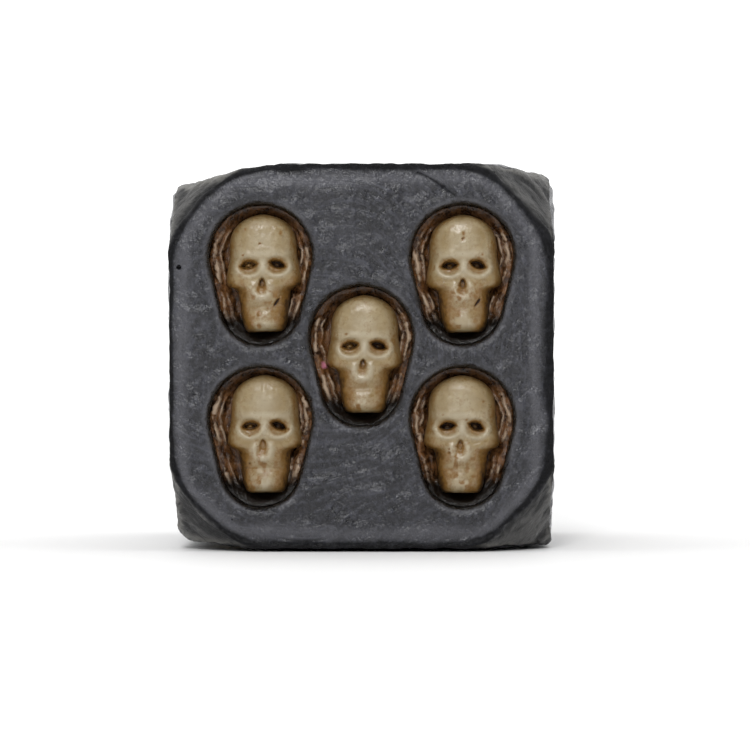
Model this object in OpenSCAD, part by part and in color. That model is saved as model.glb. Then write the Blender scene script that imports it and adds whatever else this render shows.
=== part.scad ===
// Six-sided gaming die with a small carved skull in an egg-shaped pocket for each pip.
// It stands on its six-skull face, centred on the origin, with +Z up. Opposite faces add up to seven.
// Each pocket holds a bed, which lines it, and a skull in half relief, which stands on the bed.

/* [Die body] */
// Length of each side of the cube
edge = 19; // [18.8:0.1:24]
// Diameter of the ball that cuts off the eight corners, as a multiple of the edge
corner_ball_ratio = 1.515; // [1.48:0.005:1.6]
// How far the flat bevel along the twelve edges reaches over each face
edge_bevel = 0.45; // [0.2:0.05:0.7]

/* [Pips] */
// Distance of the outer pips from the middle of the face, sideways
pip_column = 4.9; // [4.85:0.05:5]
// Distance of the upper and lower pips from the middle of the face
pip_row = 3.95; // [3.9:0.05:4]
// Distance of the outer columns from the middle of the face of six
six_column = 5.6; // [5.4:0.1:5.7]

/* [Pockets] */
// Radius of the wide end of a pocket, over the skull's crown
pocket_crown_r = 2.5; // [2.46:0.02:2.56]
// Radius of the narrow end of a pocket, under the skull's chin
pocket_chin_r = 1.95; // [1.85:0.05:2.05]
// Height of the wide end's centre above the middle of the pocket
crown_rise = 0.9; // [0.86:0.02:0.94]
// Drop of the narrow end's centre below the middle of the pocket
chin_drop = 1.45; // [1.41:0.01:1.49]
// Depth of a pocket
pocket_depth = 1.9; // [1.7:0.05:1.95]

/* [Beds] */
// Thickness of the bed under the skull
bed_floor = 0.35; // [0.3:0.05:0.45]
// Thickness of the bed's wall
bed_wall = 0.25; // [0.15:0.01:0.28]
// Height of the bed, from the bottom of the pocket to the top of its wall
bed_h = 1.2; // [0.8:0.1:1.6]

/* [Skulls] */
// Height of a skull, from crown to chin
skull_h = 5.6; // [5.4:0.05:5.7]
// Diameter of the round cranium
cranium_d = 3.3; // [3.1:0.05:3.4]
// Width across the cheekbones
cheek_w = 3.74; // [3.6:0.02:3.8]
// Width of the jaw below the cheekbones
jaw_w = 2.56; // [2.4:0.04:2.8]
// Width of the squared chin
chin_w = 1.7; // [1.5:0.05:1.8]
// How far the skull's nose lies below the face of the die
skull_recess = 0.15; // [0.1:0.05:0.3]
// Width of an eye opening
eye_w = 0.8; // [0.7:0.02:0.9]
// Height of an eye opening
eye_h = 0.46; // [0.4:0.02:0.5]

/* [Hidden] */
$fn = 64;
big = 2 * edge; // longer than anything that it has to cut through
half = edge / 2;
corner_ball_r = half * corner_ball_ratio;
bevel_block = sqrt(2) * (edge - edge_bevel);

skull_base = bed_floor - pocket_depth; // height of the skull's back, measured from the die's face
relief = -skull_recess - skull_base; // thickness of a skull from back to nose
crown_y = (skull_h - cranium_d) / 2;
temple_half_w = 0.48 * cranium_d;
temple_y = crown_y - 0.25;
cheek_top_y = -0.03 * skull_h;
cheek_bottom_y = -0.1 * skull_h;
cheek_taper = 0.06; // how much narrower the cheekbones are at their bottom, on each side
jaw_top_y = -0.13 * skull_h;
chin_cut_w = 0.24; // width of the slanted corner at each side of the chin
chin_cut_h = 0.3; // height of that corner
muzzle_r = 1.7;
front_lift = 0.05; // how far the muzzle stands in front of the brow
brow_relief = relief - front_lift;
side_drop = 1.05; // how much lower the cheekbones are than the middle of the face
end_drop = 0.85; // how much lower the crown and chin are than the middle of the face
round_side_r = arc_r(cheek_w / 2, side_drop);
round_end_r = arc_r(skull_h / 2, end_drop);

eye_x = 0.7;
eye_y = skull_h * 0.08;
eye_tilt = 12;
eye_depth = 0.45;
socket_r = 0.62;
socket_depth = 0.16;
eye_arc_r = arc_r(eye_w / 2, eye_h / 2);
nose_w = 0.42;
nose_h = 0.56;
nose_y = -skull_h * 0.08;
nose_depth = 0.4;
mouth_w = 1.3;
mouth_h = 0.09;
mouth_y = -skull_h * 0.27;
mouth_depth = 0.14;

CENTRE = [["centre", 0, 0]];
RISING = [["lower_left", -pip_column, -pip_row], ["upper_right", pip_column, pip_row]];
FALLING = [["upper_left", -pip_column, pip_row], ["lower_right", pip_column, -pip_row]];
SIX_COLUMNS = [["left", -six_column], ["middle", 0], ["right", six_column]];
SIX_ROWS = [["upper", pip_row], ["lower", -pip_row]];
SIX = [for (row = SIX_ROWS) for (col = SIX_COLUMNS) [str(row[0], "_", col[0]), col[1], row[1]]];

// Each face: its pip count, the turn that carries the top face onto it, and its pips
FACES = [
    ["1", [0, 0, 0], CENTRE],
    ["2", [90, 0, 180], RISING],
    ["3", [90, 0, 270], concat(CENTRE, FALLING)],
    ["4", [90, 0, 90], concat(RISING, FALLING)],
    ["5", [90, 0, 0], concat(CENTRE, RISING, FALLING)],
    ["6", [180, 0, 0], SIX]
];

function piece_name(kind, face, pip) = str(kind, "_", face[0], "_", pip[0]);

// Radius of the arc that spans twice half_chord and rises by sagitta
function arc_r(half_chord, sagitta) = (pow(half_chord, 2) + pow(sagitta, 2)) / (2 * sagitta);

// Puts its children on a pip, with z = 0 on the face, +Z pointing out of the die and +Y up the skull
module at_pip(face, pip) {
    translate([0, 0, half])
        rotate(face[1])
            translate([pip[1], pip[2], half])
                children();
}

// Egg-shaped outline of a pocket: two arcs joined by the straight lines that touch both
module pocket_outline(inset = 0) {
    crown_r = pocket_crown_r - inset;
    chin_r = pocket_chin_r - inset;
    lean = asin((crown_r - chin_r) / (crown_rise + chin_drop));
    crown_touch = [crown_r * cos(lean), crown_rise - crown_r * sin(lean)];
    chin_touch = [chin_r * cos(lean), -chin_drop - chin_r * sin(lean)];
    translate([0, crown_rise]) circle(r = crown_r);
    translate([0, -chin_drop]) circle(r = chin_r);
    polygon([
        [-crown_touch.x, crown_touch.y],
        [-chin_touch.x, chin_touch.y],
        chin_touch,
        crown_touch
    ]);
}

// Square prisms turned by 45 degrees, whose sides cut the flat bevels along the twelve edges
module beveled_cube() {
    intersection() {
        cube(edge, center = true);
        rotate([45, 0, 0]) cube([big, bevel_block, bevel_block], center = true);
        rotate([0, 45, 0]) cube([bevel_block, big, bevel_block], center = true);
        rotate([0, 0, 45]) cube([bevel_block, bevel_block, big], center = true);
    }
}

module die_body() {
    color("#4b4b50")
        difference() {
            translate([0, 0, half])
                intersection() {
                    beveled_cube();
                    sphere(r = corner_ball_r);
                }
            for (face = FACES) for (pip = face[2])
                at_pip(face, pip)
                    translate([0, 0, -pocket_depth])
                        linear_extrude(height = 2 * pocket_depth) pocket_outline();
        }
}

module bed() {
    color("#5a4128")
        translate([0, 0, -pocket_depth])
            difference() {
                linear_extrude(height = bed_h) pocket_outline();
                translate([0, 0, bed_floor])
                    linear_extrude(height = bed_h) pocket_outline(bed_wall);
            }
}

// Front view of a skull below the cranium: cheekbones, then a jaw that narrows to a squared chin
module jaw_outline() {
    half_h = skull_h / 2;
    temple = [temple_half_w, temple_y];
    cheek_top = [cheek_w / 2, cheek_top_y];
    cheek_bottom = [cheek_w / 2 - cheek_taper, cheek_bottom_y];
    jaw_top = [jaw_w / 2, jaw_top_y];
    jaw_corner = [chin_w / 2 + chin_cut_w, chin_cut_h - half_h];
    chin_corner = [chin_w / 2, -half_h];
    right_side = [temple, cheek_top, cheek_bottom, jaw_top, jaw_corner, chin_corner];
    left_side = [for (i = [len(right_side) - 1:-1:0]) [-right_side[i].x, right_side[i].y]];
    polygon(concat(right_side, left_side));
}

// Straight-sided block with the skull's outline
module skull_block() {
    translate([0, crown_y, 0]) cylinder(d = cranium_d, h = relief);
    linear_extrude(height = relief) jaw_outline();
}

// Rounded front of a skull: two crossing barrels, and the muzzle that stands out below the nose
module skull_front() {
    intersection() {
        translate([0, 0, brow_relief - round_side_r])
            rotate([90, 0, 0]) cylinder(r = round_side_r, h = big, center = true);
        translate([0, 0, brow_relief - round_end_r])
            rotate([0, 90, 0]) cylinder(r = round_end_r, h = big, center = true);
    }
    translate([0, mouth_y, relief - muzzle_r]) sphere(r = muzzle_r);
}

// Almond outline of an eye opening: two arcs that meet at the corners of the eye
module eye_outline() {
    intersection_for (side = [-1, 1])
        translate([0, side * (eye_arc_r - eye_h / 2)]) circle(r = eye_arc_r);
}

// Shallow socket round each eye, and the almond opening in the middle of it
module eye_cuts() {
    for (side = [-1, 1])
        translate([side * eye_x, eye_y, brow_relief]) {
            translate([0, 0, socket_r - socket_depth - side_fall()]) sphere(r = socket_r);
            translate([0, 0, -eye_depth - side_fall()])
                rotate([0, 0, -side * eye_tilt])
                    linear_extrude(height = relief) eye_outline();
        }
}

// How far the barrel has fallen from the middle of the face at the eyes
function side_fall() = round_side_r - sqrt(pow(round_side_r, 2) - pow(eye_x, 2));

module nose_cut() {
    translate([0, nose_y, relief - nose_depth])
        linear_extrude(height = relief)
            polygon([[-nose_w / 2, -nose_h / 2], [nose_w / 2, -nose_h / 2], [0, nose_h / 2]]);
}

module mouth_cut() {
    translate([-mouth_w / 2, mouth_y, relief - mouth_depth])
        cube([mouth_w, mouth_h, relief]);
}

module skull() {
    color("#a8967a")
        translate([0, 0, skull_base])
            difference() {
                intersection() {
                    skull_block();
                    skull_front();
                }
                eye_cuts();
                nose_cut();
                mouth_cut();
            }
}

die_body();
for (face = FACES) for (pip = face[2]) {
    at_pip(face, pip) bed();
    at_pip(face, pip) skull();
}
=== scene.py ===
"""A cast gaming die whose pips are small skulls in stained pockets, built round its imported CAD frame.

Shapes are worked out in millimetres, in each face's own (right, up, out) axes, and made in metres.
"""

import math

import bpy
import numpy as np
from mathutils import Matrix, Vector
from mathutils.geometry import delaunay_2d_cdt


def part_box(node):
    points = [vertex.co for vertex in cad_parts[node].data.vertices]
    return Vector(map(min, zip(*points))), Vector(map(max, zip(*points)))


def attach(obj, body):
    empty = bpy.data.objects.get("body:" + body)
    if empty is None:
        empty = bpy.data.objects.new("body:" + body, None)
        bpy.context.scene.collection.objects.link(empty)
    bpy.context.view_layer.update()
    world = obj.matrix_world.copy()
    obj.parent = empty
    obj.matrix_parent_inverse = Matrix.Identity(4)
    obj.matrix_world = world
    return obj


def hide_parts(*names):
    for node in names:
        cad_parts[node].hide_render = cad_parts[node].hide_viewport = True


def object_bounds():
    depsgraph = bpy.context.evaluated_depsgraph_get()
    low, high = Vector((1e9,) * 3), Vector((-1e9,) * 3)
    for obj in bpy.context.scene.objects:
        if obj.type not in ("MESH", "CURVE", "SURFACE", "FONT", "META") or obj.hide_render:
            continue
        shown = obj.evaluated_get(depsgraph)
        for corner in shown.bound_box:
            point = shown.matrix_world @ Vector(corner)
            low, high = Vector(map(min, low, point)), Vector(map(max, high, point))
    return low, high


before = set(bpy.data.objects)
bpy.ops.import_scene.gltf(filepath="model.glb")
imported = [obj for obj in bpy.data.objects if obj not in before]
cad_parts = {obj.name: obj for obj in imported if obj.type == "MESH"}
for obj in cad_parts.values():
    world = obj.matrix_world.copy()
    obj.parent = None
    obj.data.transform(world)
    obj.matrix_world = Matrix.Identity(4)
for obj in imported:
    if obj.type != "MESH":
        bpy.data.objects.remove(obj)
CAD_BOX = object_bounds()
MM = 0.001

# Each face's outward axis, and the axis that its skulls' crowns point along
FACES = {
    "1": ((0, 0, 1), (0, 1, 0)),
    "2": ((0, 1, 0), (0, 0, 1)),
    "3": ((-1, 0, 0), (0, 0, 1)),
    "4": ((1, 0, 0), (0, 0, 1)),
    "5": ((0, -1, 0), (0, 0, 1)),
    "6": ((0, 0, -1), (0, -1, 0)),
}
PIPS = sorted(name[len("bed_"):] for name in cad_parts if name.startswith("bed_"))


# ---------------------------------------------------------------- numbers read from the frame

def box_mm(node):
    low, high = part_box(node)
    return np.array(low) / MM, np.array(high) / MM


DIE_LOW, DIE_HIGH = box_mm("die_body")
CENTRE = (DIE_LOW + DIE_HIGH) / 2
HALF = (DIE_HIGH[0] - DIE_LOW[0]) / 2
CORNER_BALL_RATIO = 1.515  # diameter of the ball that cuts off the corners, over the edge
BALL_R = CORNER_BALL_RATIO * HALF
PANEL_R = math.sqrt(BALL_R**2 - HALF**2)  # the round edge of each flat face


def face_axes(face):
    out, up = (np.array(axis, float) for axis in FACES[face])
    return np.cross(up, out), up, out


def on_face(face, right, up, out):
    """Points in the die's frame, from distances along a face's axes, counted from the die's centre."""
    axes = face_axes(face)
    return CENTRE + sum(np.asarray(d)[..., None] * axis for d, axis in zip((right, up, out), axes))


def pocket_place(pip):
    """(right, up) of a pocket's middle on its face, and the heights of its bottom and of its skull's back."""
    face = pip[0]
    right, up, out = face_axes(face)
    bed, skull = box_mm("bed_" + pip), box_mm("skull_" + pip)
    middle = (bed[0] + bed[1]) / 2 - CENTRE
    bottom = min(np.dot(corner - CENTRE, out) for corner in bed)
    back = min(np.dot(corner - CENTRE, out) for corner in skull)
    return np.dot(middle, right), np.dot(middle, up), bottom, back


# ---------------------------------------------------------------- small numeric helpers

def smoothstep(low, high, x):
    t = np.clip((np.asarray(x, float) - low) / (high - low), 0, 1)
    return t * t * (3 - 2 * t)


def bump(x, middle, width):
    """A smooth hill of height 1 at middle."""
    return np.exp(-(((x - middle) / width) ** 2))


def lattice(ix, iy, iz, seed):
    """A repeatable random number from -1 to 1 for each point of a whole-number grid."""
    mixed = ix * 374761393 + iy * 668265263 + iz * 1440662683 + seed * 2654435761
    mixed &= 0xFFFFFFFF
    mixed = ((mixed ^ (mixed >> 13)) * 1274126177) & 0xFFFFFFFF
    return ((mixed ^ (mixed >> 16)) & 0xFFFF) / 32767.5 - 1


def noise(points, size, seed=0):
    """Smooth random numbers from -1 to 1 that change over about size, which may differ by axis."""
    scaled = np.asarray(points, float) / size + 1000
    cell = np.floor(scaled).astype(np.int64)
    t = scaled - cell
    t = t * t * t * (t * (6 * t - 15) + 10)
    total = 0
    for corner in range(8):
        step = np.array([corner & 1, corner >> 1 & 1, corner >> 2 & 1])
        weight = np.prod(np.where(step, t, 1 - t), axis=-1)
        total = total + weight * lattice(*np.moveaxis(cell + step, -1, 0), seed)
    return total


def smooth_curve(points, x):
    """A curve through (x, y) points, in rising x, that never overshoots them."""
    px, py = np.array(points, float).T
    width = np.diff(px)
    slope = np.diff(py) / width
    product = slope[:-1] * slope[1:]
    mean = np.where(product > 0, 2 * product / np.where(product > 0, slope[:-1] + slope[1:], 1), 0)
    tangent = np.concatenate([slope[:1], mean, slope[-1:]])
    x = np.clip(x, px[0], px[-1])
    i = np.clip(np.searchsorted(px, x, side="right") - 1, 0, len(width) - 1)
    t = (x - px[i]) / width[i]
    start = (2 * t**3 - 3 * t**2 + 1) * py[i] + (t**3 - 2 * t**2 + t) * width[i] * tangent[i]
    end = (3 * t**2 - 2 * t**3) * py[i + 1] + (t**3 - t**2) * width[i] * tangent[i + 1]
    return start + end


def make_piece(name, points, faces, attributes, material, nodes):
    """A smooth mesh from points in millimetres, that rides on the die and stands for its CAD nodes."""
    mesh = bpy.data.meshes.new(name)
    mesh.from_pydata((np.asarray(points) * MM).tolist(), [], faces)
    for key, values in attributes.items():
        layer = mesh.attributes.new(key, "FLOAT", "POINT")
        layer.data.foreach_set("value", np.asarray(values, np.float32).ravel())
    mesh.polygons.foreach_set("use_smooth", [True] * len(mesh.polygons))
    mesh.materials.append(material)
    mesh.validate()
    piece = bpy.data.objects.new(name, mesh)
    bpy.context.scene.collection.objects.link(piece)
    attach(piece, "root")
    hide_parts(*nodes)
    return piece


# ---------------------------------------------------------------- the egg-shaped pocket

CROWN_R = 2.5  # radius of the pocket's wide upper end
CHIN_R = 1.95  # radius of its narrow lower end
CROWN_RISE = 0.9  # height of the upper centre above the pocket's middle
CHIN_DROP = 1.45  # drop of the lower centre below it
LEAN = math.asin((CROWN_R - CHIN_R) / (CROWN_RISE + CHIN_DROP))
OUTLINE_POINTS = 128


def egg_distance(x, y):
    """Distance from a pocket's outline, negative inside it."""
    x, y = np.abs(x), CROWN_RISE - y
    along = -math.sin(LEAN) * x + math.cos(LEAN) * y
    span = math.cos(LEAN) * (CROWN_RISE + CHIN_DROP)
    side = math.cos(LEAN) * x + math.sin(LEAN) * y - CROWN_R
    upper = np.hypot(x, y) - CROWN_R
    lower = np.hypot(x, y - CROWN_RISE - CHIN_DROP) - CHIN_R
    return np.where(along < 0, upper, np.where(along > span, lower, side))


def egg_outline(count):
    """Evenly spaced points round a pocket's outline, anticlockwise, and the outward normals there."""
    straight = (CROWN_RISE + CHIN_DROP) * math.cos(LEAN)
    upper, lower = CROWN_R * (math.pi + 2 * LEAN), CHIN_R * (math.pi - 2 * LEAN)
    stops = np.cumsum([0, upper, straight, lower, straight])
    far = (np.arange(count) / count) * stops[-1]
    left, right = math.pi + LEAN, 2 * math.pi - LEAN  # ways that the straight sides' normals point
    turn = np.interp(far, stops, [-LEAN, left, left, right, right])
    normal = np.stack([np.cos(turn), np.sin(turn)], -1)
    centre_y = np.interp(far, stops, [CROWN_RISE, CROWN_RISE, -CHIN_DROP, -CHIN_DROP, CROWN_RISE])
    radius = np.interp(far, stops, [CROWN_R, CROWN_R, CHIN_R, CHIN_R, CROWN_R])
    return np.stack([np.zeros(count), centre_y], -1) + radius[:, None] * normal, normal


# ---------------------------------------------------------------- the cast body

EDGE_R = (0.5, 0.6, 0.4)  # rounding of the edges that run along X, Y and Z
SHOULDER_R = 0.35  # rounding where a flat face meets the ball
# Where wear begins, counted from the middle, and its slope: along the top, the bottom and the left side
TOP_LEFT_WEAR, TOP_RIGHT_WEAR, BOTTOM_WEAR, SIDE_WEAR = (4.3, 0.22), (7.4, 0.3), (6.4, 0.16), (3.5, 0.06)
BACK_WEAR_LOSS = 0.4  # how much of the wear of the top and bottom is gone at the back
MOUTH_OUT = 0.24  # a pocket's own rings begin this far outside its outline
MOUTH_WIDE, MOUTH_DEEP = 0.7, 0.36  # reach and drop of a pocket's worn mouth
WALL_STEPS = 6
LUMP_DEPTH, STREAK_DEPTH, CREASE_DEPTH, FLAW_DEPTH = 0.28, 0.13, 0.14, 0.12
FLAWED_FACE = "5"
PINHOLE = (-8.85, 4.3, 0.13)  # place and radius of a cast bubble
CRACK = (0.94, 4.06, 5.14, 45, 70)  # middle, radius and end angles of a hairline crack above a pocket


def soft_ramp(x, width=0.6):
    """0 below zero and x above it, with a soft bend."""
    return (x + np.sqrt(x * x + width * width)) / 2


def rounded_corner(a, b, radius):
    """The larger of two distances, with the corner between them rounded."""
    near = (a > -radius) & (b > -radius)
    round_part = np.hypot(np.maximum(a + radius, 0), np.maximum(b + radius, 0)) - radius
    return np.where(near, round_part, np.maximum(a, b))


def worn_off(far, wear):
    """Depth of wear at a distance from the middle."""
    start, slope = wear
    return slope * soft_ramp(far - start)


def past_planes(p):
    """Distances past the worn planes across X, Y and Z, negative inside. p is counted from the centre."""
    px, py, pz = np.moveaxis(p, -1, 0)
    fade = 1 - BACK_WEAR_LOSS * (py + HALF) / (2 * HALF)
    top = worn_off(-px, TOP_LEFT_WEAR) + worn_off(px, TOP_RIGHT_WEAR)
    bottom = worn_off(-px, BOTTOM_WEAR)
    left = worn_off(-pz, SIDE_WEAR)
    x = np.abs(px) - HALF + np.where(px < 0, left, 0)
    z = np.abs(pz) - HALF + fade * np.where(pz > 0, top, bottom)
    return x, np.abs(py) - HALF, z


def body_distance(p):
    """Signed distance, roughly, from the die's plain outer surface."""
    x, y, z = past_planes(p)
    box = np.maximum(rounded_corner(y, z, EDGE_R[0]), rounded_corner(x, y, EDGE_R[2]))
    box = np.maximum(box, rounded_corner(x, z, EDGE_R[1]))
    return rounded_corner(box, np.linalg.norm(p, axis=-1) - BALL_R, SHOULDER_R)


def body_surface(p):
    """Moves points on the cube straight towards its centre until they lie on the outer surface."""
    low, high = np.full(p.shape[:-1], 0.5), np.ones(p.shape[:-1])
    for _ in range(30):
        middle = (low + high) / 2
        inside = body_distance(p * middle[..., None]) < 0
        low, high = np.where(inside, middle, low), np.where(inside, high, middle)
    return p * low[..., None]


def body_normals(p, step=0.02):
    slopes = [body_distance(p + step * axis) - body_distance(p - step * axis) for axis in np.eye(3)]
    normal = np.stack(slopes, -1)
    return normal / np.linalg.norm(normal, axis=-1, keepdims=True)


def strokes(p, width, stretch, seed):
    """Marks about width wide, stretched along circles round each flat face's middle, from -1 to 1."""
    away = np.sqrt(np.maximum((p**2).sum(-1, keepdims=True) - p**2, 0))
    share = (np.abs(p) / HALF) ** 8
    share /= share.sum(-1, keepdims=True)
    total = 0
    for i in range(3):
        j, k = (i + 1) % 3, (i + 2) % 3
        drift = 0.5 * noise(p, 2.5, seed + i)
        marks = np.stack([away[..., i] + drift, p[..., j] / stretch, p[..., k] / stretch], -1)
        total = total + share[..., i] * noise(marks, width, seed + 10 + i)
    return total


def filed_streaks(p, width, stretch, seed):
    """Marks left by filing the corners, stretched along circles round the Y axis, from -1 to 1."""
    away = np.hypot(p[..., 0], p[..., 2]) + 0.5 * noise(p, 2.5, seed)
    return noise(np.stack([away, p[..., 0] / stretch, p[..., 2] / stretch], -1), width, seed + 1)


def crack_gap(plan):
    """Distance from the hairline crack."""
    x, y = plan[:, 0] - CRACK[0], plan[:, 1] - CRACK[1]
    turn = np.degrees(np.arctan2(y, x))
    past_end = np.radians(np.maximum(np.maximum(CRACK[3] - turn, turn - CRACK[4]), 0)) * CRACK[2]
    return np.hypot(np.hypot(x, y) - CRACK[2], past_end)


def flaw_marks(plan):
    """How far into the pinhole or the crack each point is, from 0 to 1."""
    pinhole = smoothstep(1.0, 0.5, np.hypot(plan[:, 0] - PINHOLE[0], plan[:, 1] - PINHOLE[1]) / PINHOLE[2])
    return np.maximum(pinhole, 0.75 * bump(crack_gap(plan), 0, 0.065))


def flaw_points():
    """Close points in and round the pinhole and the crack."""
    middle, radius = np.array(PINHOLE[:2]), PINHOLE[2]
    turn = np.arange(0, 2 * math.pi, math.pi / 8)
    rings = [middle + radius * r * np.stack([np.cos(turn), np.sin(turn)], -1) for r in (0.4, 0.75, 1.1, 1.6)]
    turn = np.radians(np.arange(CRACK[3] - 1.0, CRACK[4] + 1.5, 1.0))
    along = np.stack([np.cos(turn), np.sin(turn)], -1)
    lines = [np.array(CRACK[:2]) + (CRACK[2] + aside) * along for aside in (-0.17, -0.08, 0.0, 0.08, 0.17)]
    return np.concatenate([middle[None], *rings, *lines])


def off_flaws(plan):
    """The points of a plan that lie clear of the pinhole and the crack."""
    far = np.hypot(plan[:, 0] - PINHOLE[0], plan[:, 1] - PINHOLE[1]) > 2.2 * PINHOLE[2]
    return plan[far & (crack_gap(plan) > 0.26)]


def past_panel(face, plan):
    """Distance outside the flat panel's border, and outside its round corners alone."""
    right, up, _ = face_axes(face)
    side = np.abs(plan[:, 0]) - HALF + EDGE_R[int(np.argmax(np.abs(up)))]
    end = np.abs(plan[:, 1]) - HALF + EDGE_R[int(np.argmax(np.abs(right)))]
    round_part = np.hypot(*plan.T) - PANEL_R
    return rounded_corner(rounded_corner(side, end, 1.0), round_part, 0.8), round_part


def body_marks(face, plan, p):
    """Attributes of the plain surface: millimetres from the middle in away, and from 0 to 1 in the rest."""
    past, past_round = past_panel(face, plan)
    wander = 0.15 * noise(p, 1.6, 30) + 0.05 * noise(p, 0.5, 31)
    x, _, z = past_planes(p)
    corner = smoothstep(0.1, 0.6, past_round + wander)
    # the black line is painted shade; this also moves the painted shoulder highlight further in at a face's
    # right
    past = past + 0.25 * smoothstep(6.5, 8.5, plan[:, 0])  # the black line is widest at a face's right
    away = corner * np.hypot(p[:, 0], p[:, 2]) + (1 - corner) * np.hypot(*plan.T)
    streak = 0.5 + 0.8 * filed_streaks(p, 0.26, 10, 40) + 0.4 * filed_streaks(p, 0.13, 8, 50)
    return {
        "corner": corner,
        # crease: painted shade, a dark line along the panel's round edge where the surface turns away
        "crease": smoothstep(-0.15, 0.2, past + wander) * smoothstep(0.6, 0.15, past_round + wander),
        # painted highlight: a paler band just inside the panel's edge, where its shoulder faces the light
        "painted_shoulder_highlight": bump(past + wander, -0.42, 0.3),
        "wear": corner * smoothstep(-0.5, -0.1, np.maximum(x, z) + 0.5 * wander),
        "away": away + 0.6 * noise(p, 2.5, 41),
        "streak": np.clip(streak, 0, 1),
        "pit": flaw_marks(plan) if face == FLAWED_FACE else np.zeros(len(plan)),
    }


def lumps(p):
    """Depth of the soft hammered and brushed dents, from 0 to 1."""
    rough = 0.8 * noise(p, 1.3, 1) + 0.9 * noise(p, 0.65, 2) + 0.8 * noise(p, 0.36, 3)
    return np.clip(0.5 + 0.27 * rough + 0.24 * strokes(p, 0.4, 2.0, 70), 0, 1)


def mouth_lip_wear_and_highlight(gap, p):
    """How far the lip of a pocket's mouth is painted pale, in patches: rubbed wear and a painted highlight.
    """
    return bump(gap, 0.2, 0.13) * smoothstep(-0.4, 0.5, noise(p, 0.9, 60))


def mouth_depth(gap):
    """Drop of the worn surface towards a pocket, gap outside its outline."""
    return MOUTH_DEEP * np.clip(1 - gap / MOUTH_WIDE, 0, 1) ** 4


def body_dents(face, plan, p, marks, gap):
    """How deep the surface is sunk, never above the plain one."""
    past, _ = past_panel(face, plan)
    calm = 1 - 0.5 * smoothstep(0.8, 0.3, gap)
    dents = LUMP_DEPTH * lumps(p) * calm * (1 - 0.55 * smoothstep(-0.7, 0.1, past))
    dents += STREAK_DEPTH * marks["corner"] * (1 - marks["streak"])
    dents += CREASE_DEPTH * smoothstep(-0.8, 0.14, past) * smoothstep(0.5, 0.14, past)
    return dents + mouth_depth(gap) + FLAW_DEPTH * marks["pit"]


# How the points of a face's flat plan are spread
EDGE_STEPS = 114  # along each of its four sides
MOUTH_GAPS = (0.1, 0.22)  # rings of points outside each pocket's mouth
ARC_OFFSETS = np.arange(-0.54, 0.6, 0.1)  # arcs inside and outside the panel's round edge
ARC_STEP = 0.13
COARSE_STEP, COARSE_PAST, COARSE_INSET = 0.192, -0.65, 0.8  # grid within both the round and straight edges
FINE_STEP, FINE_PAST, FINE_INSET = 0.136, -0.62, 0.74  # grid between the straight edges and the coarse one
OUTER_PAST = 0.6  # the fine grid also begins again this far past the round edge


def edge_points():
    side = np.linspace(-HALF, HALF, EDGE_STEPS + 1)
    low, high = np.full(EDGE_STEPS, -HALF), np.full(EDGE_STEPS, HALF)
    edge = [np.stack([side[:-1], low], -1), np.stack([high, side[:-1]], -1)]
    return edge + [-part for part in edge]


def arc_points():
    arcs = []
    for radius in PANEL_R + ARC_OFFSETS:
        turn = np.arange(0, 2 * math.pi, ARC_STEP / radius)
        arcs.append(radius * np.stack([np.cos(turn), np.sin(turn)], -1))
    return arcs


def grid_points(step, rng):
    """A slightly uneven grid over a face, with distances past its round edge and in from its sides."""
    line = np.arange(-HALF, HALF, step)
    grid = np.stack(np.meshgrid(line, line), -1).reshape(-1, 2)
    grid = grid + rng.uniform(-0.2, 0.2, grid.shape) * step
    return grid, np.hypot(*grid.T) - PANEL_R, HALF - np.abs(grid).max(-1)


def filler_points():
    """The coarse grid inside the panel's edge, and the fine one outside it and along the straight sides."""
    rng = np.random.default_rng(7)
    coarse, past, inset = grid_points(COARSE_STEP, rng)
    coarse = coarse[(past < COARSE_PAST) & (inset >= COARSE_INSET)]
    fine, past, inset = grid_points(FINE_STEP, rng)
    return [coarse, fine[(past > OUTER_PAST) | ((past < FINE_PAST) & (inset < FINE_INSET))]]


def panel_plan(face, pips):
    """Points of one face's flat plan: its pockets' mouths, its square edge, then the rest."""
    outline, normal = egg_outline(OUTLINE_POINTS)
    mouths = [outline + MOUTH_OUT * normal + place for place in pips]
    rings = [outline + (MOUTH_OUT + gap) * normal + place for place in pips for gap in MOUTH_GAPS]
    spread = np.concatenate([*arc_points(), *filler_points()])
    if face == FLAWED_FACE:
        spread = np.concatenate([off_flaws(spread), flaw_points()])
    loose = np.concatenate([*rings, spread])
    inside = np.abs(loose).max(-1) < HALF - 0.06
    gap = nearest_gap(loose, pips)
    ring_count = sum(map(len, rings))
    clear = np.where(np.arange(len(loose)) < ring_count, gap > MOUTH_OUT + 0.05, gap > MOUTH_OUT + 0.3)
    return np.concatenate([*mouths, *edge_points(), loose[inside & clear]])


def nearest_gap(points, pips):
    """Distance of each point outside the nearest pocket's outline."""
    if not len(pips):
        return np.full(len(points), 9.0)
    return np.min([egg_distance(points[:, 0] - x, points[:, 1] - y) for x, y in pips], axis=0)


def panel_faces(plan, pips):
    """Triangles between the plan's points, with the pockets left open."""
    loops = []
    for i in range(len(pips)):
        start = i * OUTLINE_POINTS
        loops += [(start + k, start + (k + 1) % OUTLINE_POINTS) for k in range(OUTLINE_POINTS)]
    found = delaunay_2d_cdt([Vector(p) for p in plan], loops, [], 0, 1e-7, False)
    if len(found[0]) != len(plan):
        raise ValueError("two points of a face's plan fall together")
    faces = np.array(found[2])
    middle = plan[faces].mean(axis=1)
    return faces[nearest_gap(middle, pips) > MOUTH_OUT - 0.02]


def pocket_rings(depth):
    """(distance outside the outline, depth) down a pocket, from its mouth to the middle of its floor."""
    mouth = [(gap, float(mouth_depth(gap))) for gap in (0.2, 0.14, 0.09, 0.05, 0.02, 0.0)]
    wall = [(0.0, d) for d in np.linspace(mouth[-1][1], depth, WALL_STEPS + 1)[1:]]
    return mouth + wall + [(-0.7, depth), (-1.4, depth)]


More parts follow.
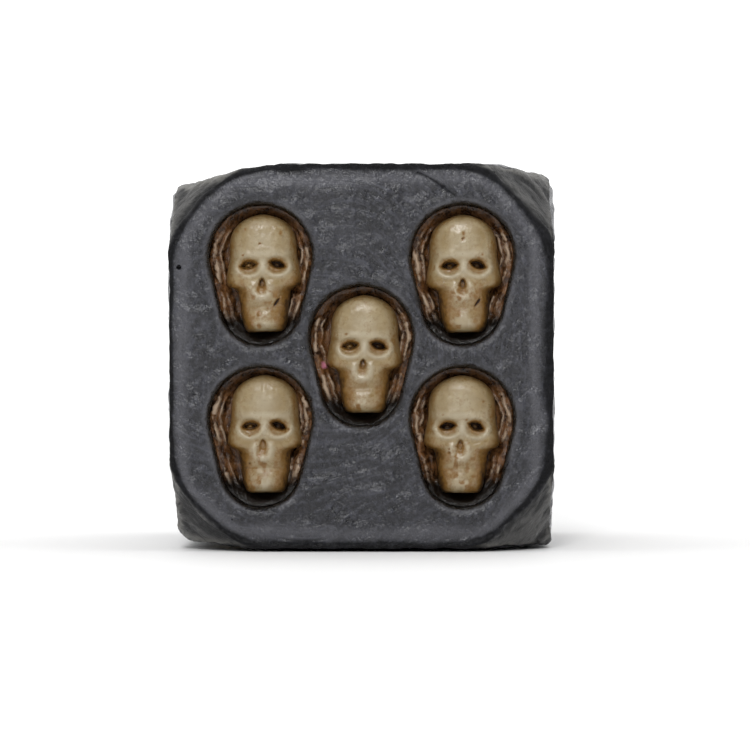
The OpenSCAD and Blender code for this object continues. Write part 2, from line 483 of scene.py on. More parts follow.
class BodyMesh:
    """Gathers the body's points, faces and attributes."""

    def __init__(self):
        self.points, self.faces, self.marks, self.count = [], [], {}, 0

    def add_points(self, points, marks):
        start = self.count
        self.points.append(points)
        self.count += len(points)
        for key, values in marks.items():
            self.marks.setdefault(key, []).append(values)
        return start

    def add_panel(self, face, pips):
        plan = panel_plan(face, pips)
        surface = body_surface(on_face(face, plan[:, 0], plan[:, 1], np.full(len(plan), HALF)) - CENTRE)
        marks = body_marks(face, plan, surface)
        gap = nearest_gap(plan, pips)
        sunk = body_dents(face, plan, surface, marks, gap)
        marks["pocket"] = np.zeros(len(plan))
        marks["rim"] = mouth_lip_wear_and_highlight(gap, surface)
        start = self.add_points(surface - body_normals(surface) * sunk[:, None], marks)
        self.faces += (panel_faces(plan, pips) + start).tolist()
        return start

    def add_pocket(self, face, place, previous):
        """Adds rings down a pocket, from the ring of points that begins at previous."""
        right, up, bottom, _ = place
        outline, outward = egg_outline(OUTLINE_POINTS)
        previous = list(range(previous, previous + OUTLINE_POINTS))
        for gap, depth in pocket_rings(HALF - bottom):
            ring = outline + gap * outward + (right, up)
            plain = on_face(face, ring[:, 0], ring[:, 1], np.full(OUTLINE_POINTS, HALF)) - CENTRE
            worn = body_surface(plain)
            marks = body_marks(face, ring, worn)
            fade = smoothstep(0.8, 0.3, depth)
            dents = body_dents(face, ring, worn, marks, np.full(OUTLINE_POINTS, gap))
            rough = fade * (dents - mouth_depth(gap))
            # painted shade: the pocket's wall is painted near black below its mouth
            marks["pocket"] = np.full(OUTLINE_POINTS, smoothstep(0.07, 0.26, depth))
            marks["rim"] = mouth_lip_wear_and_highlight(gap, worn)
            shape = fade * worn + (1 - fade) * plain
            start = self.add_points(shape - (depth + rough)[:, None] * face_axes(face)[2], marks)
            ring_ids = list(range(start, start + OUTLINE_POINTS))
            for k in range(OUTLINE_POINTS):
                n = (k + 1) % OUTLINE_POINTS
                self.faces.append([previous[k], previous[n], ring_ids[n], ring_ids[k]])
            previous = ring_ids
        self.faces.append(previous)

    def joined(self):
        """Points, faces and attributes, with one point for each two that the faces share along the edges."""
        points = np.concatenate(self.points)
        _, first, where = np.unique(np.round(points, 4), axis=0, return_index=True, return_inverse=True)
        where = where.ravel()
        faces = [[int(where[i]) for i in face] for face in self.faces]
        marks = {key: np.concatenate(values)[first] for key, values in self.marks.items()}
        return points[first] + CENTRE, faces, marks


def make_body(material):
    body = BodyMesh()
    for face in FACES:
        places = [pocket_place(pip) for pip in PIPS if pip[0] == face]
        start = body.add_panel(face, [place[:2] for place in places])
        for i, place in enumerate(places):
            body.add_pocket(face, place, start + i * OUTLINE_POINTS)
    points, faces, marks = body.joined()
    return make_piece("cast_body", points, faces, marks, material, ["die_body"])


# ---------------------------------------------------------------- the stained beds

BED_POINTS = 132
BED_INSETS = (0.01, *np.arange(0.06, 0.75, 0.045), 0.82, 1.0, 1.3)
BED_FLOOR, BED_TOP = 0.35, 1.19  # heights over the pocket's bottom
LINING_RISE, RIDGE_RISE = 0.7, 0.4  # how much the lining and the ridges stand over the bed's floor
OUTER_CREST, INNER_CREST = (0.25, 0.13), (0.54, 0.08)  # inset and width of the two ridges
FLECK = ("5_centre", -1.84, -0.46, 0.15)  # pip, place and radius of a stray fleck of pink paint


def bed_shape(inset, ring, seed):
    """Height of a bed over its pocket's bottom round one inset ring, and how pale its ridges are rubbed."""
    x, y = ring.T
    spot = np.stack([x, y, np.full(len(x), seed * 3.1)], -1)
    upper = smoothstep(-0.6, -0.1, y) * smoothstep(2.7, 1.5, y)
    lower = smoothstep(-2.6, -2.2, y) * smoothstep(-0.7, -1.1, y)
    tall = (upper + 0.85 * lower) * (0.95 + 0.3 * noise(spot, 0.8, seed))
    sway = 0.08 * noise(spot, 0.5, seed + 1) + 0.04 * noise(spot, 0.25, seed + 4)
    ragged = 0.75 + 0.6 * noise(spot, 0.15, seed + 2) + 0.6 * noise(spot, 0.4, seed + 5)
    outer, inner = (bump(inset, middle + sway, width) for middle, width in (OUTER_CREST, INNER_CREST))
    crests = np.maximum(outer, 0.8 * inner)
    ridge = tall * np.clip(ragged, 0.05, 1.3) * crests
    lining = LINING_RISE * smoothstep(0.85, 0.0, inset) * (0.85 + 0.15 * noise(spot, 0.5, seed + 3))
    height = np.minimum(BED_FLOOR + lining + RIDGE_RISE * ridge, BED_TOP)
    return (height if inset < 0.9 else np.full(len(x), BED_FLOOR)), np.clip(ridge, 0, 1)


def bed_faces():
    """Faces of a bed: its rings from the outside in, its wall down to the foot, its floor and its bottom."""
    rows = len(BED_INSETS)
    foot_start = rows * BED_POINTS
    faces = []
    for k in range(BED_POINTS):
        n = (k + 1) % BED_POINTS
        for row in range(rows - 1):
            a, b = row * BED_POINTS, (row + 1) * BED_POINTS
            faces.append([a + k, a + n, b + n, b + k])
        faces.append([foot_start + k, foot_start + n, n, k])
    faces.append([(rows - 1) * BED_POINTS + k for k in range(BED_POINTS)])
    faces.append([foot_start + k for k in reversed(range(BED_POINTS))])
    return faces


def make_bed(pip, material):
    face, (right, up, bottom, _) = pip[0], pocket_place(pip)
    seed = 100 + 7 * PIPS.index(pip)
    outline, normal = egg_outline(BED_POINTS)
    points, pale, side, fleck = [], [], [], []
    for inset in BED_INSETS:
        ring = outline - inset * normal
        height, rubbed = bed_shape(inset, ring, seed)
        points.append(on_face(face, ring[:, 0] + right, ring[:, 1] + up, bottom + height))
        pale.append(rubbed)
        # side: 1 on the bed's flanks, falling to 0 under the chin and to 0.5 over the crown, for painted
        # shade there
        side.append(smoothstep(-2.4, -1.5, ring[:, 1]) * (1 - 0.5 * smoothstep(2.0, 3.0, ring[:, 1])))
        away = np.hypot(ring[:, 0] - FLECK[1], ring[:, 1] - FLECK[2])
        fleck.append(smoothstep(FLECK[3], 0.6 * FLECK[3], away) * (pip == FLECK[0]))
    foot = outline - BED_INSETS[0] * normal
    points.append(on_face(face, foot[:, 0] + right, foot[:, 1] + up, np.full(BED_POINTS, bottom)))
    for values in (pale, side, fleck):
        values.append(np.zeros(BED_POINTS))
    attributes = {"pale": np.concatenate(pale), "side": np.concatenate(side), "fleck": np.concatenate(fleck)}
    name, nodes = "stained_bed_" + pip, ["bed_" + pip]
    return make_piece(name, np.concatenate(points), bed_faces(), attributes, material, nodes)


# ---------------------------------------------------------------- the carved skulls

CROWN, CHIN = 2.95, -2.83  # top and bottom of a skull
SKULL_RELIEF = 1.47
CROWN_START = 0.9  # the cranium's round end begins here
# (height, half width) up the side of a skull: chin, jaw, the step under the cheekbone, temple
SIDE = (
    (CHIN, 0.76), (-2.72, 0.94), (-2.45, 1.07), (-2.0, 1.16), (-1.2, 1.25), (-0.85, 1.31),
    (-0.7, 1.42), (-0.54, 1.76), (-0.36, 1.87), (-0.1, 1.85), (0.3, 1.78), (0.9, 1.68), (CROWN, 1.68),
)
# (height, relief) down the middle of a skull
PROFILE = (
    (CHIN, 0.0), (-2.77, 0.85), (-2.65, 1.18), (-2.35, 1.36), (-1.9, 1.34), (-1.55, 1.27),
    (-1.15, 1.38), (-0.6, 1.36), (0.0, 1.33), (0.5, 1.33), (0.95, 1.42), (1.4, 1.42), (CROWN, 1.42),
)
EYE = (0.69, 0.46)  # place of an eye
EYE_SIZE = (0.385, 0.19)  # half the length and height of its opening
EYE_DROOP = (6, 21)  # degrees by which the outer ends of the left and right eyes hang
NOSE = (-0.07, -0.42)
NOSE_SIZE = (0.18, 0.27)
MUZZLE = (-0.1, -0.66, 0.4)  # middle and radius of the raised ring below the nose
BROW_Y, MOUTH_Y = 1.0, -1.6
CHEEKBONE, CHEEK_HOLLOW = (1.42, -0.22), (1.08, -0.98)
CHIN_BOSS = (-0.1, -2.25)
SLASH, SLASH_SIZE = (0.62, -1.36), (0.36, 0.09)  # place, half length and half width of a cut in the jaw
# The shown face's skulls: shift right and up, turn in degrees, fill of the left eye and of the nose,
# and whether a slash marks the jaw
TRAITS = {
    "5_upper_left": (0.14, 0.03, 1.5, 0.95, 0.35, True),
    "5_upper_right": (0.08, 0.0, 1.2, 0.15, 0.45, True),
    "5_centre": (0.15, 0.04, 0.0, 0.7, 0.5, False),
    "5_lower_left": (0.2, 0.1, 0.5, 0.55, 0.85, False),
    "5_lower_right": (-0.02, 0.08, -0.5, 0.1, 0.75, False),
}


def skull_traits(pip, rng):
    spread = ((-0.04, 0.18), (-0.04, 0.08), (-1.5, 1.5), (0.1, 0.9), (0.3, 0.8))
    drawn = [rng.uniform(*ends) for ends in spread]
    return TRAITS.get(pip) or (*drawn, rng.uniform() < 0.4)


def skull_grid():
    """Rows of heights and columns of shares of the half width, closer where the features are."""
    rows = np.concatenate([
        np.linspace(CHIN, -2.6, 8), np.linspace(-2.54, -1.0, 22), np.linspace(-0.95, 0.85, 42),
        np.linspace(0.93, 2.3, 16), CROWN - 0.01 - 0.56 * np.linspace(1, 0, 10)[1:] ** 2,
    ])
    even = np.linspace(-1, 1, 70)
    return rows, 0.6 * even + 0.4 * np.sin(even * math.pi / 2)


def lens_distance(x, y, half_length, half_height):
    """Signed distance from a lens between two arcs, negative inside."""
    radius = (half_length**2 + half_height**2) / (2 * half_height)
    offset = radius - half_height
    return np.maximum(np.hypot(x, y + offset), np.hypot(x, y - offset)) - radius


class Carving:
    """Height added to a skull's plain front, with its brown stain and its pale wear, partly rubbed and partly
    a painted highlight, each from 0 to 1.
    """

    def __init__(self, x, y, seed):
        self.x, self.y, self.seed = x, y, seed
        self.spot = np.stack([x, y, np.full(x.shape, seed * 1.7)], -1)
        self.lift = 0.016 * noise(self.spot, 0.5, seed + 2) + 0.014 * noise(self.spot, 0.22, seed + 3)
        self.stain, self.wear = np.zeros(x.shape), np.zeros(x.shape)

    def add(self, lift, stain=0.0, wear=0.0):
        self.lift += lift
        self.stain = np.maximum(self.stain, stain)
        self.wear = np.maximum(self.wear, wear)

    def add_forehead(self):
        brow = bump(self.y, BROW_Y, 0.24) * bump(self.x, 0, 1.25)
        temple = bump(np.abs(self.x), 1.5, 0.3) * bump(self.y, BROW_Y, 0.4)
        bridge = bump(self.x, 0, 0.2) * bump(self.y, 0.4, 0.45)
        crown = bump(np.hypot(self.x, self.y - 1.6), 0, 0.7)
        # pale on the brow, bridge and crown: rubbed wear and a painted highlight
        self.add(0.07 * brow + 0.06 * bridge + 0.03 * crown, wear=np.maximum(0.7 * brow, 0.9 * bridge))
        self.add(-0.08 * temple, wear=0.5 * crown)

    def add_eye(self, side, droop, fill):
        turn = math.radians(-side * droop)
        dx, dy = self.x - side * EYE[0], self.y - EYE[1]
        x = dx * math.cos(turn) + dy * math.sin(turn)
        y = dy * math.cos(turn) - dx * math.sin(turn)
        ring = np.hypot(dx / 0.56, (dy + 0.04) / 0.46)
        rim = bump(ring, 1.16, 0.2) * (0.35 + 0.65 * smoothstep(0.3, -0.2, dy))
        socket, shade = smoothstep(1.02, 0.5, ring), smoothstep(1.1, 0.65, ring)
        # the rims are paler below: rubbed wear and a painted highlight
        self.add(0.06 * rim - 0.14 * socket, 0.32 * shade, 0.6 * rim)
        lens = lens_distance(x, y, *EYE_SIZE)
        opening = smoothstep(0.035, -0.07, lens)
        nub = bump(np.hypot((x + 0.03) / 1.4, (y + 0.02) / 0.9), 0, 0.11) * (0.25 + 0.75 * fill)
        self.add(-0.45 * opening * (1 - 0.75 * nub), opening * (1 - 0.3 * fill) * (1 - nub))
        self.add(0, 0.6 * bump(lens, 0.02, 0.09))

    def add_nose(self, fill):
        dx, dy = self.x - NOSE[0], self.y - NOSE[1]
        wide = NOSE_SIZE[0] * (1 - 0.35 * np.clip(dy / NOSE_SIZE[1], -1, 1))
        hole = smoothstep(1.15, 0.55, np.hypot(dx / wide, dy / NOSE_SIZE[1]))
        nub = bump(np.hypot(dx - 0.03, dy + 0.08), 0, 0.1) * (0.3 + 0.7 * fill)
        hole *= 1 - 0.6 * nub
        self.add(-0.36 * hole * (1 - 0.5 * fill), hole * (0.95 - 0.4 * fill))
        ring = np.hypot(self.x - MUZZLE[0], (self.y - MUZZLE[1]) / 1.15)
        below = smoothstep(0.45, 0.1, self.y - MUZZLE[1])
        lip = bump(ring, MUZZLE[2], 0.17) * below
        inner = bump(ring, 0.1, 0.22)
        self.add(0.08 * lip - 0.05 * inner, 0.38 * inner, 0.75 * lip)

    def add_cheeks(self):
        side = np.abs(self.x)
        bone = bump(side, CHEEKBONE[0], 0.38) * bump(self.y, CHEEKBONE[1], 0.3)
        hollow = bump(side, CHEEK_HOLLOW[0], 0.26) * bump(self.y, CHEEK_HOLLOW[1], 0.3)
        self.add(0.08 * bone - 0.15 * hollow, 0.42 * hollow)

    def add_mouth(self, slash):
        line = self.y - MOUTH_Y + 0.05 * noise(self.spot, 0.5, self.seed)
        crease = bump(line, 0, 0.07) * smoothstep(1.0, 0.7, np.abs(self.x))
        chin = bump(self.x, CHIN_BOSS[0], 0.5) * bump(self.y, CHIN_BOSS[1], 0.4)
        patchy = smoothstep(-0.1, 0.5, noise(self.spot, 0.25, self.seed + 1))
        # the chin is paler: rubbed wear and a painted highlight
        self.add(0.06 * chin - 0.05 * crease, 0.5 * crease * patchy, 0.9 * chin * (0.5 + 0.5 * patchy))
        blotches = smoothstep(0.15, 0.7, noise(self.spot, 0.28, self.seed + 6))
        self.add(-0.02 * blotches, 0.42 * blotches * smoothstep(-0.3, -1.1, self.y))
        if slash:
            dx, dy = self.x - SLASH[0], self.y - SLASH[1]
            along, across = 0.6 * dx + 0.8 * dy, 0.8 * dx - 0.6 * dy
            cut = smoothstep(1.0, 0.5, np.hypot(along / SLASH_SIZE[0], across / SLASH_SIZE[1]))
            self.add(-0.12 * cut, 0.9 * cut)

    def add_pits(self, rng, count=7):
        for _ in range(count):
            px, py = rng.uniform(-1.2, 1.2), rng.uniform(-2.2, 2.2)
            pit = bump(np.hypot(self.x - px, self.y - py), 0, rng.uniform(0.05, 0.09))
            self.add(-0.06 * pit, rng.uniform(0.3, 0.8) * pit)


def skull_front(pip):
    """A skull's grid of (right, up, relief) in its own upright axes, with its attributes and its traits."""
    seed = 500 + 11 * PIPS.index(pip)
    rng = np.random.default_rng(seed)
    traits = skull_traits(pip, rng)
    rows, columns = skull_grid()
    y, share = np.meshgrid(rows, columns, indexing="ij")
    reach = np.maximum(y - CROWN_START, 0) / (CROWN - CROWN_START)
    x = share * smooth_curve(SIDE, y) * np.clip(1 - reach**2.8, 0, 1) ** (1 / 2.5)
    carving = Carving(x, y, seed)
    carving.add_forehead()
    carving.add_eye(-1, EYE_DROOP[0] + rng.uniform(-3, 3), traits[3])
    carving.add_eye(1, EYE_DROOP[1] + rng.uniform(-3, 3), 0.1)
    carving.add_nose(traits[4])
    carving.add_cheeks()
    carving.add_mouth(traits[5])
    carving.add_pits(rng)
    across = np.abs(share) ** (3.2 - 0.5 * smoothstep(-0.4, -1.2, y))
    over = (np.maximum(y - 0.4, 0) / (CROWN - 0.4)) ** 8
    flank = np.clip(1 - across - over, 0, 1) ** (1 / 2.6)
    inner = smoothstep(0.3, 0.75, flank) * smoothstep(CHIN, -2.7, y)
    relief = np.clip(smooth_curve(PROFILE, y) * flank + carving.lift * inner, 0, SKULL_RELIEF)
    relief[0], relief[-1], relief[:, 0], relief[:, -1] = 0, 0, 0, 0
    ragged = flank + 0.06 * noise(carving.spot, 0.35, seed + 5)
    foot = np.maximum(smoothstep(0.4, 0.2, ragged), smoothstep(-2.74, CHIN, y))
    wash = 0.32 * smoothstep(0.95, 0.6, ragged)
    wash = wash + 0.32 * smoothstep(0.1, -0.9, y) * smoothstep(1.04, 0.9, ragged)
    stain = np.maximum(carving.stain * inner, np.maximum(foot, wash))
    return x, y, relief, {"stain": stain, "wear": carving.wear * inner}, traits


def grid_faces(count, wide):
    """Faces of a closed relief: its front grid, and its flat back in strips between the outer columns."""
    index = np.arange(count * wide).reshape(count, wide)
    quads = np.stack([index[:-1, :-1], index[:-1, 1:], index[1:, 1:], index[1:, :-1]], -1)
    faces = quads.reshape(-1, 4).tolist()
    faces.append(index[0, ::-1].tolist() + [int(index[1, 0]), int(index[1, -1])])
    for low, high in zip(index[1:-2], index[2:-1]):
        faces.append([int(low[-1]), int(low[0]), int(high[0]), int(high[-1])])
    faces.append([int(index[-2, -1]), int(index[-2, 0])] + index[-1].tolist())
    return faces


def make_skull(pip, material):
    face, (right, up, _, back) = pip[0], pocket_place(pip)
    x, y, relief, attributes, traits = skull_front(pip)
    turn = math.radians(traits[2])
    px = x * math.cos(turn) - y * math.sin(turn) + traits[0] + right
    py = x * math.sin(turn) + y * math.cos(turn) + traits[1] + up
    points = on_face(face, px.ravel(), py.ravel(), back + relief.ravel())
    name, nodes = "carved_skull_" + pip, ["skull_" + pip]
    return make_piece(name, points, grid_faces(*x.shape), attributes, material, nodes)


# ---------------------------------------------------------------- materials

class Nodes:
    """Short names for making a material's nodes and joining them."""

    def __init__(self, name):
        self.material = bpy.data.materials.new(name)
        self.material.use_nodes = True
        self.tree = self.material.node_tree
        self.shader = self.tree.nodes["Principled BSDF"]
        self.place = self.tree.nodes.new("ShaderNodeTexCoord").outputs["Object"]

    def join(self, source, target):
        if isinstance(source, bpy.types.NodeSocket):
            self.tree.links.new(source, target)
        else:
            target.default_value = source

    def attribute(self, name):
        node = self.tree.nodes.new("ShaderNodeAttribute")
        node.attribute_name = name
        return node.outputs["Fac"]

    def noise(self, size, detail=3, rough=0.5, place=None):
        """Noise whose features are about size millimetres wide, from 0 to 1."""
        node = self.tree.nodes.new("ShaderNodeTexNoise")
        node.inputs["Scale"].default_value = 1 / (size * MM)
        node.inputs["Detail"].default_value = detail
        node.inputs["Roughness"].default_value = rough
        self.join(place or self.place, node.inputs["Vector"])
        return node.outputs["Fac"]

    def math(self, operation, a, b):
        node = self.tree.nodes.new("ShaderNodeMath")
        node.operation = operation
        self.join(a, node.inputs[0])
        self.join(b, node.inputs[1])
        return node.outputs[0]

    def ramp(self, value, low, high, start=0.0, end=1.0):
        """value as it goes from low to high, smoothed, from start to end."""
        node = self.tree.nodes.new("ShaderNodeMapRange")
        node.interpolation_type = "SMOOTHSTEP"
        self.join(value, node.inputs["Value"])
        for key, number in (("From Min", low), ("From Max", high), ("To Min", start), ("To Max", end)):
            node.inputs[key].default_value = number
        return node.outputs["Result"]

    def mix(self, share, a, b):
        node = self.tree.nodes.new("ShaderNodeMix")
        node.data_type = "RGBA"
        sockets = {socket.identifier: socket for socket in node.inputs}
        self.join(share, sockets["Factor_Float"])
        for value, key in ((a, "A_Color"), (b, "B_Color")):
            self.join(value if isinstance(value, bpy.types.NodeSocket) else (*value, 1), sockets[key])
        return next(socket for socket in node.outputs if socket.identifier == "Result_Color")

    def strokes(self, size, stretch):
        """Noise stretched along circles round each face's middle, from the attribute of distances from it."""
        scale = self.tree.nodes.new("ShaderNodeVectorMath")
        scale.operation = "SCALE"
        scale.inputs["Scale"].default_value = 1 / stretch
        self.join(self.place, scale.inputs[0])
        across = self.tree.nodes.new("ShaderNodeCombineXYZ")
        self.join(self.math("MULTIPLY", self.attribute("away"), MM), across.inputs["X"])
        total = self.tree.nodes.new("ShaderNodeVectorMath")
        self.join(scale.outputs[0], total.inputs[0])
        self.join(across.outputs[0], total.inputs[1])
        return self.noise(size, 3, 0.6, total.outputs[0])

    def dots(self, spacing, radius):
        """1 in small round dots, radius and spacing in millimetres, 0 elsewhere."""
        node = self.tree.nodes.new("ShaderNodeTexVoronoi")
        node.inputs["Scale"].default_value = 1 / (spacing * MM)
        self.join(self.place, node.inputs["Vector"])
        return self.ramp(node.outputs["Distance"], radius / spacing, 0.6 * radius / spacing)

    def finish(self, colour, roughness, height, depth, gloss=0.5):
        """Sets the shader, with bumps depth millimetres high where height goes from 0 to 1."""
        node = self.tree.nodes.new("ShaderNodeBump")
        node.inputs["Distance"].default_value = depth * MM
        self.join(height, node.inputs["Height"])
        self.join(colour, self.shader.inputs["Base Color"])
        self.join(roughness, self.shader.inputs["Roughness"])
        self.join(gloss, self.shader.inputs["Specular IOR Level"])
        self.join(node.outputs["Normal"], self.shader.inputs["Normal"])
        return self.material


# Colours, as linear red, green and blue
PAINT = {
    "deep": (0.011, 0.011, 0.0135), "light": (0.024, 0.024, 0.029), "grain": (0.07, 0.072, 0.09),
    # shoulder is a painted highlight; lip is rubbed wear and a painted highlight
    "scratch": (0.075, 0.077, 0.095), "painted_shoulder_highlight": (0.12, 0.12, 0.135), "lip": (0.14, 0.14, 0.155),
    # crease is painted shade along the panels' round edges
    "filed_low": (0.005, 0.005, 0.005), "filed_high": (0.07, 0.068, 0.065), "crease": (0.007, 0.007, 0.007),
    # pocket and pinhole are painted shade, down the pockets' walls and inside the pits
    "worn_edge": (0.2, 0.194, 0.176), "pocket": (0.006, 0.005, 0.004), "pinhole": (0.003, 0.003, 0.003),
}
BONE = {
    "tan": (0.25, 0.175, 0.078), "cream": (0.325, 0.25, 0.135), "grain": (0.19, 0.13, 0.055),
    # rubbed is both rubbed wear and a painted highlight
    "rubbed": (0.52, 0.47, 0.36), "speck": (0.1, 0.05, 0.018), "honey": (0.2, 0.1, 0.022),
    "hollow": (0.018, 0.006, 0.002),
}
STAIN = {
    "deep": (0.032, 0.011, 0.003), "light": (0.19, 0.085, 0.03), "ridge": (0.4, 0.29, 0.2),
    # chin is painted shade, under the chin and over the crown
    "chin": (0.008, 0.005, 0.003), "fleck": (0.7, 0.25, 0.35),
}


def charcoal_resin():
    """Dark painted resin: mottled, with painted shade in the creases, pockets and pits and painted highlights
    on the panels' shoulders and the pockets' lips, rubbed paler along edges, lips and file marks.
    """
    n = Nodes("charcoal_resin")
    corner, crease, painted_shoulder_highlight = n.attribute("corner"), n.attribute("crease"), n.attribute("painted_shoulder_highlight")
    wear, streak = n.attribute("wear"), n.attribute("streak")
    patches, grain, marks = n.noise(1.6, 4, 0.6), n.noise(0.26, 4, 0.65), n.strokes(0.24, 2.6)
    paint = n.mix(n.ramp(patches, 0.35, 0.7), PAINT["deep"], PAINT["light"])
    paint = n.mix(n.ramp(grain, 0.46, 0.68, 0, 0.5), paint, PAINT["grain"])
    paint = n.mix(n.ramp(marks, 0.47, 0.7, 0, 0.5), paint, PAINT["scratch"])
    # painted highlight along the panels' shoulders
    paint = n.mix(n.math("MULTIPLY", painted_shoulder_highlight, 0.5), paint, PAINT["painted_shoulder_highlight"])
    # rubbed wear and painted highlight on the pockets' lips
    paint = n.mix(n.math("MULTIPLY", n.attribute("rim"), 0.4), paint, PAINT["lip"])
    scuffs = n.math("ADD", n.math("MULTIPLY", streak, 0.45), n.math("MULTIPLY", marks, 0.75))
    filed = n.mix(n.ramp(scuffs, 0.46, 0.82), PAINT["filed_low"], PAINT["filed_high"])
    colour = n.mix(n.math("MULTIPLY", corner, 0.9), paint, filed)
    # painted shade: a near-black line along each panel's round edge
    colour = n.mix(n.math("MULTIPLY", crease, 0.8), colour, PAINT["crease"])
    worn = n.math("MULTIPLY", wear, n.ramp(n.noise(0.5, 4, 0.7), 0.35, 0.55))
    colour = n.mix(n.math("MULTIPLY", worn, 0.7), colour, PAINT["worn_edge"])
    # painted shade down the pockets' walls
    colour = n.mix(n.attribute("pocket"), colour, PAINT["pocket"])
    # painted shade: nearly black inside the pinholes and the crack
    pinholes = n.math("MAXIMUM", n.dots(2.2, 0.07), n.attribute("pit"))
    colour = n.mix(pinholes, colour, PAINT["pinhole"])
    sheen = n.ramp(n.noise(0.5, 3, 0.6), 0.3, 0.7, 0.2, 0.36)
    roughness = n.math("ADD", sheen, n.math("MULTIPLY", corner, 0.22))
    ripples = n.math("ADD", n.noise(0.38, 3, 0.5), n.math("MULTIPLY", grain, 0.55))
    scored = n.math("MULTIPLY", marks, n.ramp(corner, 0.0, 1.0, 0.4, 2.4))
    height = n.math("SUBTRACT", n.math("ADD", ripples, scored), n.math("MULTIPLY", pinholes, 0.5))
    # the painted-shade creases and pits reflect less
    gloss = n.ramp(n.math("MAXIMUM", crease, pinholes), 0.0, 1.0, 0.5, 0.08)
    return n.finish(colour, roughness, height, 0.11, gloss)


def bone_resin():
    """Tan resin with a brown wash in its hollows and paler raised parts, partly rubbed and partly painted
    highlights.
    """
    n = Nodes("bone_resin")
    stain, wear = n.attribute("stain"), n.attribute("wear")
    blotches, fine = n.noise(0.9, 4, 0.6), n.noise(0.18, 4, 0.65)
    bone = n.mix(n.ramp(blotches, 0.3, 0.7), BONE["tan"], BONE["cream"])
    bone = n.mix(n.ramp(fine, 0.45, 0.75, 0, 0.35), bone, BONE["grain"])
    # rubbed wear and painted highlight on the raised parts
    bone = n.mix(n.math("MULTIPLY", wear, 0.75), bone, BONE["rubbed"])
    specks = n.math("MULTIPLY", n.dots(0.55, 0.035), n.ramp(n.noise(1.1, 2), 0.5, 0.6))
    bone = n.mix(n.math("MULTIPLY", specks, 0.7), bone, BONE["speck"])
    uneven = n.math("ADD", n.ramp(fine, 0.3, 0.7, -0.12, 0.12), n.ramp(blotches, 0.4, 0.7, -0.06, 0.1))
    wash = n.math("ADD", stain, uneven)
    colour = n.mix(n.ramp(wash, 0.0, 0.5), bone, BONE["honey"])
    colour = n.mix(n.ramp(wash, 0.4, 0.9), colour, BONE["hollow"])
    sheen = n.ramp(n.noise(0.6, 3), 0.35, 0.65, 0.25, 0.4)
    roughness = n.math("ADD", sheen, n.math("MULTIPLY", stain, 0.08))
    height = n.math("ADD", n.noise(0.3, 3, 0.5), n.math("MULTIPLY", fine, 0.5))
    return n.finish(colour, roughness, height, 0.028, n.ramp(stain, 0.5, 0.95, 0.5, 0.22))


def stained_resin():
    """Varnished brown resin: pale where the ridges are rubbed, with painted shade: nearly black under the
    chin and darker over the crown.
    """
    n = Nodes("stained_resin")
    pale, side = n.attribute("pale"), n.attribute("side")
    patches, fine = n.noise(0.5, 4, 0.65), n.noise(0.14, 4, 0.65)
    brown = n.mix(n.ramp(patches, 0.35, 0.65), STAIN["deep"], STAIN["light"])
    rubbed = n.math("ADD", pale, n.ramp(fine, 0.3, 0.7, -0.2, 0.2))
    colour = n.mix(n.ramp(rubbed, 0.2, 0.85), brown, STAIN["ridge"])
    # painted shade: near black under the chin, half as dark over the crown
    colour = n.mix(side, STAIN["chin"], colour)
    colour = n.mix(n.math("MULTIPLY", n.attribute("fleck"), 0.9), colour, STAIN["fleck"])
    roughness = n.ramp(fine, 0.3, 0.7, 0.08, 0.22)
    height = n.math("ADD", n.noise(0.25, 4, 0.6), n.math("MULTIPLY", fine, 0.5))
    return n.finish(colour, roughness, height, 0.09)


def floor_paper():
    """Nearly white matt paper."""
    n = Nodes("floor_paper")
    tone = n.mix(n.noise(40, 2), (0.84, 0.84, 0.84), (0.88, 0.88, 0.88))
    return n.finish(tone, 0.7, n.noise(0.5, 2), 0.01)


# ---------------------------------------------------------------- studio

FLOOR_REACH = 1.5  # metres
WORLD_STRENGTH = 1.3


def make_sheet(name, corners, material):
    """A flat four-sided sheet, in metres."""
    mesh = bpy.data.meshes.new(name)
    mesh.from_pydata(corners, [], [(0, 1, 2, 3)])
    mesh.materials.append(material)
    sheet = bpy.data.objects.new(name, mesh)
    bpy.context.scene.collection.objects.link(sheet)
    return sheet


def make_floor():
    level = CAD_BOX[0].z
    corners = [(x * FLOOR_REACH, y * FLOOR_REACH, level) for x, y in ((-1, -1), (1, -1), (1, 1), (-1, 1))]
    return make_sheet("studio_floor", corners, floor_paper())


def make_flag():
    """A dark sheet behind the camera, seen only in the die's reflections, as a studio's dark side is."""
    n = Nodes("flag_cloth")
    n.finish(n.mix(n.noise(30, 2), (0.03, 0.03, 0.03), (0.04, 0.04, 0.04)), 0.9, n.noise(1, 2), 0.1)
    wide, near, tall = 0.55, -0.3, 0.5  # metres
    corners = [(-wide, near, 0.0), (wide, near, 0.0), (wide, near, tall), (-wide, near, tall)]
    flag = make_sheet("studio_flag", corners, n.material)
    flag.visible_camera = False
    return flag


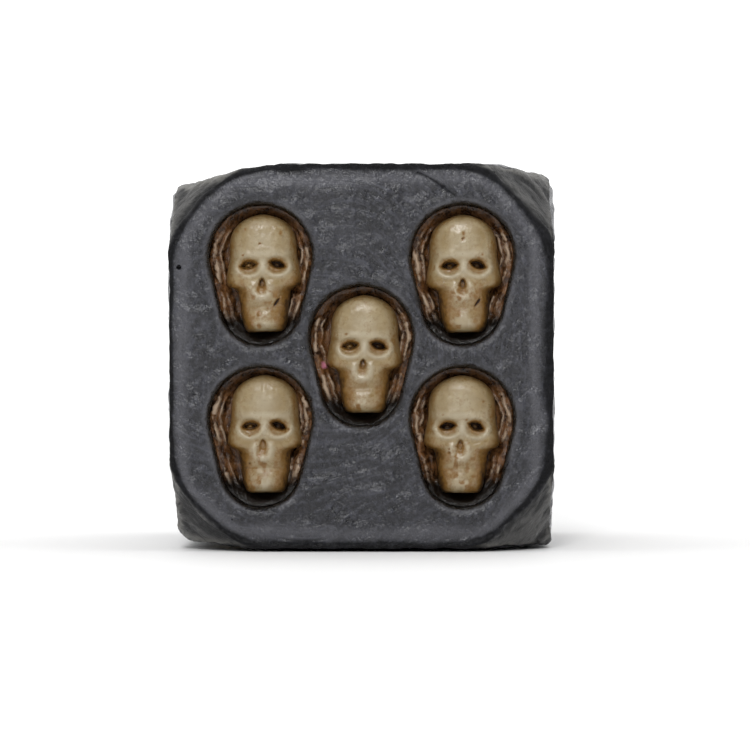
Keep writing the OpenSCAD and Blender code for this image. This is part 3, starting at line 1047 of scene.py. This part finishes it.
def aim(thing, target):
    thing.rotation_euler = (target - thing.location).to_track_quat("-Z", "Y").to_euler()


def area_light(name, place, size, power):
    """A square softbox in metres and watts, placed from the die's middle and aimed at it."""
    light = bpy.data.lights.new(name, "AREA")
    light.shape, light.size = "SQUARE", size
    light.energy = power
    lamp = bpy.data.objects.new(name, light)
    bpy.context.scene.collection.objects.link(lamp)
    middle = Vector(CENTRE * MM)
    lamp.location = middle + Vector(place)
    aim(lamp, middle)
    return lamp


def make_lights():
    world = bpy.data.worlds.new("white_room")
    world.use_nodes = True
    background = world.node_tree.nodes["Background"]
    background.inputs["Color"].default_value = (1, 1, 1, 1)
    background.inputs["Strength"].default_value = WORLD_STRENGTH
    bpy.context.scene.world = world
    area_light("key_softbox", (-0.03, -0.15, 0.2), 0.1, 0.065)
    area_light("front_softbox", (-0.04, -0.25, 0.1), 0.11, 0.05)
    area_light("glint_lamp", (-0.015, -0.18, 0.12), 0.024, 0.15)


FRAME_WIDTH = 36.3  # millimetres of the die's front plane that the picture takes in
LENS, SENSOR = 150.0, 36.0
AIM_RIGHT, AIM_DOWN = 0.55, 0.95  # the picture's middle lies this far from the die's
EYE_RIGHT, EYE_UP = 2.0, 0.5  # the camera stands this far from the line straight out of the picture's middle


def make_camera():
    data = bpy.data.cameras.new("camera")
    data.lens, data.sensor_width = LENS, SENSOR
    data.clip_start, data.clip_end = 0.01, 20
    camera = bpy.data.objects.new("camera", data)
    bpy.context.scene.collection.objects.link(camera)
    far = FRAME_WIDTH * LENS / SENSOR + HALF
    target = CENTRE + (AIM_RIGHT, 0, -AIM_DOWN)
    camera.location = Vector((target + (EYE_RIGHT, -far, EYE_UP)) * MM)
    aim(camera, Vector(target * MM))
    bpy.context.scene.camera = camera


# ---------------------------------------------------------------- the scene

make_camera()
make_lights()
make_floor()
make_flag()
make_body(charcoal_resin())
bed_material, skull_material = stained_resin(), bone_resin()
for pip in PIPS:
    make_bed(pip, bed_material)
    make_skull(pip, skull_material)

bpy.context.scene.view_settings.view_transform = "Standard"
